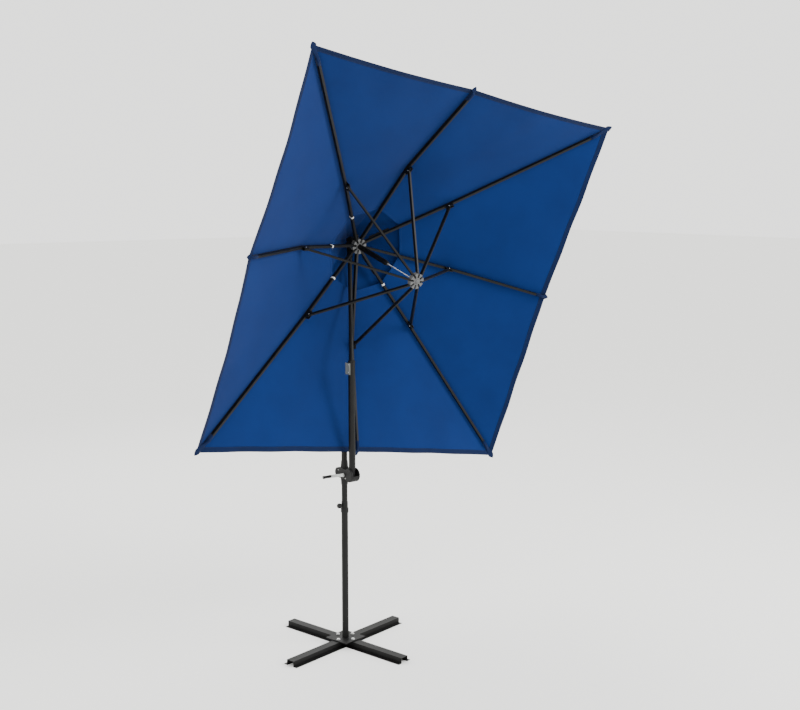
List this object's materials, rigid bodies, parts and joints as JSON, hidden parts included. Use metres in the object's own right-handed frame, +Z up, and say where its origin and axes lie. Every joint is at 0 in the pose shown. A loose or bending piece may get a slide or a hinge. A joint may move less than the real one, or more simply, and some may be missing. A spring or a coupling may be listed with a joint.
{
  "type": "cantilever parasol",
  "caption": "Square tilted canopy on folding ribs, carried by a swinging boom beside a short mast, with a crank housing and a cross base.",
  "frame": {"origin": "on the floor, on the axis of the mast", "axes": "+Z up, -Y the way the boom swings out, +X to the right seen from the mast side of the boom"},
  "size_m": [2.8604, 1.3808, 3.8766],
  "materials": {
    "canopy_fabric": "woven polyester, navy blue",
    "base_steel": "black powder coat",
    "zinc_steel": "zinc plated",
    "black_plastic": "moulded, fine grain",
    "grey_plastic": "moulded grey nylon",
    "grey_lever": "light grey paint",
    "pale_cord": "braided cord",
    "bracket_steel": "grey paint",
    "graphite_tube": "anthracite powder coat"
  },
  "bodies": {
    "root": {"base_bar_long": "base_steel", "base_bar_arms": "base_steel", "base_flange": "base_steel", "base_bolts": "zinc_steel", "base_pole": "graphite_tube", "pole_collar": "black_plastic"},
    "lock_knob": {"lock_knob": "black_plastic"},
    "mast": {"mast_tube": "graphite_tube", "mast_cap": "black_plastic", "housing_left": "black_plastic", "housing_right": "black_plastic", "housing_screws": "zinc_steel"},
    "crank": {"cord_drum": "black_plastic", "crank_axle": "zinc_steel", "crank_lever": "grey_lever", "crank_screw": "zinc_steel"},
    "crank_grip": {"crank_grip": "black_plastic"},
    "boom": {"boom_lower": "graphite_tube", "boom_foot": "black_plastic", "boom_pivot_pin": "zinc_steel", "boom_upper": "graphite_tube", "boom_elbow": "graphite_tube", "boom_bracket": "bracket_steel", "bracket_rivets": "zinc_steel", "head_block": "black_plastic", "hub": "grey_plastic", "stub_tube": "graphite_tube", "stub_plug": "black_plastic", "top_canopy": "canopy_fabric", "finial": "black_plastic"},
    "head_knob": {"head_knob": "black_plastic"},
    "runner": {"runner": "grey_plastic", "runner_cord": "pale_cord"},
    "rib_left": {"rib_1": "graphite_tube", "canopy_panel_1": "canopy_fabric"},
    "strut_left": {"strut_1": "graphite_tube"},
    "rib_upper_left": {"rib_2": "graphite_tube", "canopy_panel_2": "canopy_fabric"},
    "strut_upper_left": {"strut_2": "graphite_tube"},
    "rib_top": {"rib_3": "graphite_tube", "canopy_panel_3": "canopy_fabric"},
    "strut_top": {"strut_3": "graphite_tube"},
    "rib_upper_right": {"rib_4": "graphite_tube", "canopy_panel_4": "canopy_fabric", "vent_arm_upper": "graphite_tube"},
    "strut_upper_right": {"strut_4": "graphite_tube"},
    "rib_right": {"rib_5": "graphite_tube", "canopy_panel_5": "canopy_fabric"},
    "strut_right": {"strut_5": "graphite_tube"},
    "rib_lower_right": {"rib_6": "graphite_tube", "canopy_panel_6": "canopy_fabric", "vent_arm_lower": "graphite_tube"},
    "strut_lower_right": {"strut_6": "graphite_tube"},
    "rib_bottom": {"rib_7": "graphite_tube", "canopy_panel_7": "canopy_fabric"},
    "strut_bottom": {"strut_7": "graphite_tube"},
    "rib_lower_left": {"rib_8": "graphite_tube", "canopy_panel_8": "canopy_fabric"},
    "strut_lower_left": {"strut_8": "graphite_tube"}
  },
  "joints": [
    {"name": "lock_knob_turn", "type": "hinge", "parent": "root", "child": "lock_knob", "pos_m": [-0.02, 0, 0.975], "axis": [-1, 0, 0], "range_deg": [-360, 0]},
    {"name": "mast_swivel", "type": "hinge", "parent": "root", "child": "mast", "pos_m": [0, 0, 1], "axis": [0, 0, 1], "range_deg": [-180, 180]},
    {"name": "boom_swing", "type": "hinge", "parent": "mast", "child": "boom", "pos_m": [0, -0.092, 1.2], "axis": [1, 0, 0], "range_deg": [0, 50]},
    {"name": "crank_turn", "type": "hinge", "parent": "mast", "child": "crank", "pos_m": [-0.03, -0.044, 1.196], "axis": [-1, 0, 0], "range_deg": [0, 2682.8]},
    {"name": "grip_spin", "type": "hinge", "parent": "crank", "child": "crank_grip", "pos_m": [-0.08, 0.10154, 1.15971], "axis": [-1, 0, 0], "continuous": true},
    {"name": "head_knob_turn", "type": "hinge", "parent": "boom", "child": "head_knob", "pos_m": [0.26469, 0.23244, 2.75925], "axis": [0.1564, -0.2921, 0.9435], "range_deg": [0, 360]},
    {"name": "canopy_fold", "type": "slide", "parent": "boom", "child": "runner", "axis": [0, -0.9553, -0.2957], "range_m": [0, 0.65504], "deforming": ["canopy_panel_1", "canopy_panel_2", "canopy_panel_3", "canopy_panel_4", "canopy_panel_5", "canopy_panel_6", "canopy_panel_7", "canopy_panel_8", "top_canopy", "runner_cord"]},
    {"name": "rib_left_fold", "type": "hinge", "parent": "boom", "child": "rib_left", "pos_m": [0.22849, 0.20415, 2.71198], "axis": [0.1564, -0.2921, 0.9435], "range_deg": [-0.5, 55.5]},
    {"name": "strut_left_fold", "type": "hinge", "parent": "rib_left", "child": "strut_left", "pos_m": [-0.34373, -0.08352, 2.7178], "axis": [-0.1564, 0.2921, -0.9435], "range_deg": [-0.5, 102.19]},
    {"name": "rib_upper_left_fold", "type": "hinge", "parent": "boom", "child": "rib_upper_left", "pos_m": [0.24449, 0.19643, 2.73691], "axis": [0.809, -0.1738, 0.5615], "range_deg": [-0.5, 55.5]},
    {"name": "strut_upper_left_fold", "type": "hinge", "parent": "rib_upper_left", "child": "strut_upper_left", "pos_m": [-0.09605, -0.20304, 3.10391], "axis": [-0.809, 0.1738, -0.5615], "range_deg": [-0.5, 102.19]},
    {"name": "rib_top_fold", "type": "hinge", "parent": "boom", "child": "rib_top", "pos_m": [0.27426, 0.19432, 2.74374], "axis": [0.9877, 0.0463, -0.1494], "range_deg": [-0.5, 55.5]},
    {"name": "strut_top_fold", "type": "hinge", "parent": "rib_top", "child": "strut_top", "pos_m": [0.36489, -0.23576, 3.20962], "axis": [-0.9877, -0.0463, 0.1494], "range_deg": [-0.5, 102.19]},
    {"name": "rib_upper_right_fold", "type": "hinge", "parent": "boom", "child": "rib_upper_right", "pos_m": [0.30036, 0.19905, 2.72846], "axis": [0.5878, 0.2392, -0.7728], "range_deg": [-0.5, 55.5]},
    {"name": "strut_upper_right_fold", "type": "hinge", "parent": "rib_upper_right", "child": "strut_upper_right", "pos_m": [0.76907, -0.16252, 2.97302], "axis": [-0.5878, -0.2392, 0.7728], "range_deg": [-0.5, 102.19]},
    {"name": "rib_right_fold", "type": "hinge", "parent": "boom", "child": "rib_right", "pos_m": [0.30751, 0.20785, 2.70002], "axis": [-0.1564, 0.2921, -0.9435], "range_deg": [-0.5, 55.5]},
    {"name": "strut_right_fold", "type": "hinge", "parent": "rib_right", "child": "strut_right", "pos_m": [0.87973, -0.02622, 2.53269], "axis": [0.1564, -0.2921, 0.9435], "range_deg": [-0.5, 102.19]},
    {"name": "rib_lower_right_fold", "type": "hinge", "parent": "boom", "child": "rib_lower_right", "pos_m": [0.29151, 0.21557, 2.67509], "axis": [-0.809, 0.1738, -0.5615], "range_deg": [-0.5, 55.5]},
    {"name": "strut_lower_right_fold", "type": "hinge", "parent": "rib_lower_right", "child": "strut_lower_right", "pos_m": [0.63205, 0.0933, 2.14659], "axis": [0.809, -0.1738, 0.5615], "range_deg": [-0.5, 102.19]},
    {"name": "rib_bottom_fold", "type": "hinge", "parent": "boom", "child": "rib_bottom", "pos_m": [0.26174, 0.21768, 2.66826], "axis": [-0.9877, -0.0463, 0.1494], "range_deg": [-0.5, 55.5]},
    {"name": "strut_bottom_fold", "type": "hinge", "parent": "rib_bottom", "child": "strut_bottom", "pos_m": [0.17111, 0.12602, 2.04088], "axis": [0.9877, 0.0463, -0.1494], "range_deg": [-0.5, 102.19]},
    {"name": "rib_lower_left_fold", "type": "hinge", "parent": "boom", "child": "rib_lower_left", "pos_m": [0.23564, 0.21295, 2.68354], "axis": [-0.5878, -0.2392, 0.7728], "range_deg": [-0.5, 55.5]},
    {"name": "strut_lower_left_fold", "type": "hinge", "parent": "rib_lower_left", "child": "strut_lower_left", "pos_m": [-0.23307, 0.05278, 2.27748], "axis": [0.5878, 0.2392, -0.7728], "range_deg": [-0.5, 102.19]}
  ],
  "couplings": [
    {"joint": "rib_left_fold", "follows": "canopy_fold", "rad_per_m": 1.4654},
    {"joint": "strut_left_fold", "follows": "canopy_fold", "rad_per_m": 2.7094},
    {"joint": "rib_upper_left_fold", "follows": "canopy_fold", "rad_per_m": 1.4654},
    {"joint": "strut_upper_left_fold", "follows": "canopy_fold", "rad_per_m": 2.7094},
    {"joint": "rib_top_fold", "follows": "canopy_fold", "rad_per_m": 1.4654},
    {"joint": "strut_top_fold", "follows": "canopy_fold", "rad_per_m": 2.7094},
    {"joint": "rib_upper_right_fold", "follows": "canopy_fold", "rad_per_m": 1.4654},
    {"joint": "strut_upper_right_fold", "follows": "canopy_fold", "rad_per_m": 2.7094},
    {"joint": "rib_right_fold", "follows": "canopy_fold", "rad_per_m": 1.4654},
    {"joint": "strut_right_fold", "follows": "canopy_fold", "rad_per_m": 2.7094},
    {"joint": "rib_lower_right_fold", "follows": "canopy_fold", "rad_per_m": 1.4654},
    {"joint": "strut_lower_right_fold", "follows": "canopy_fold", "rad_per_m": 2.7094},
    {"joint": "rib_bottom_fold", "follows": "canopy_fold", "rad_per_m": 1.4654},
    {"joint": "strut_bottom_fold", "follows": "canopy_fold", "rad_per_m": 2.7094},
    {"joint": "rib_lower_left_fold", "follows": "canopy_fold", "rad_per_m": 1.4654},
    {"joint": "strut_lower_left_fold", "follows": "canopy_fold", "rad_per_m": 2.7094},
    {"joint": "crank_turn", "follows": "canopy_fold", "rad_per_m": 71.429}
  ]
}
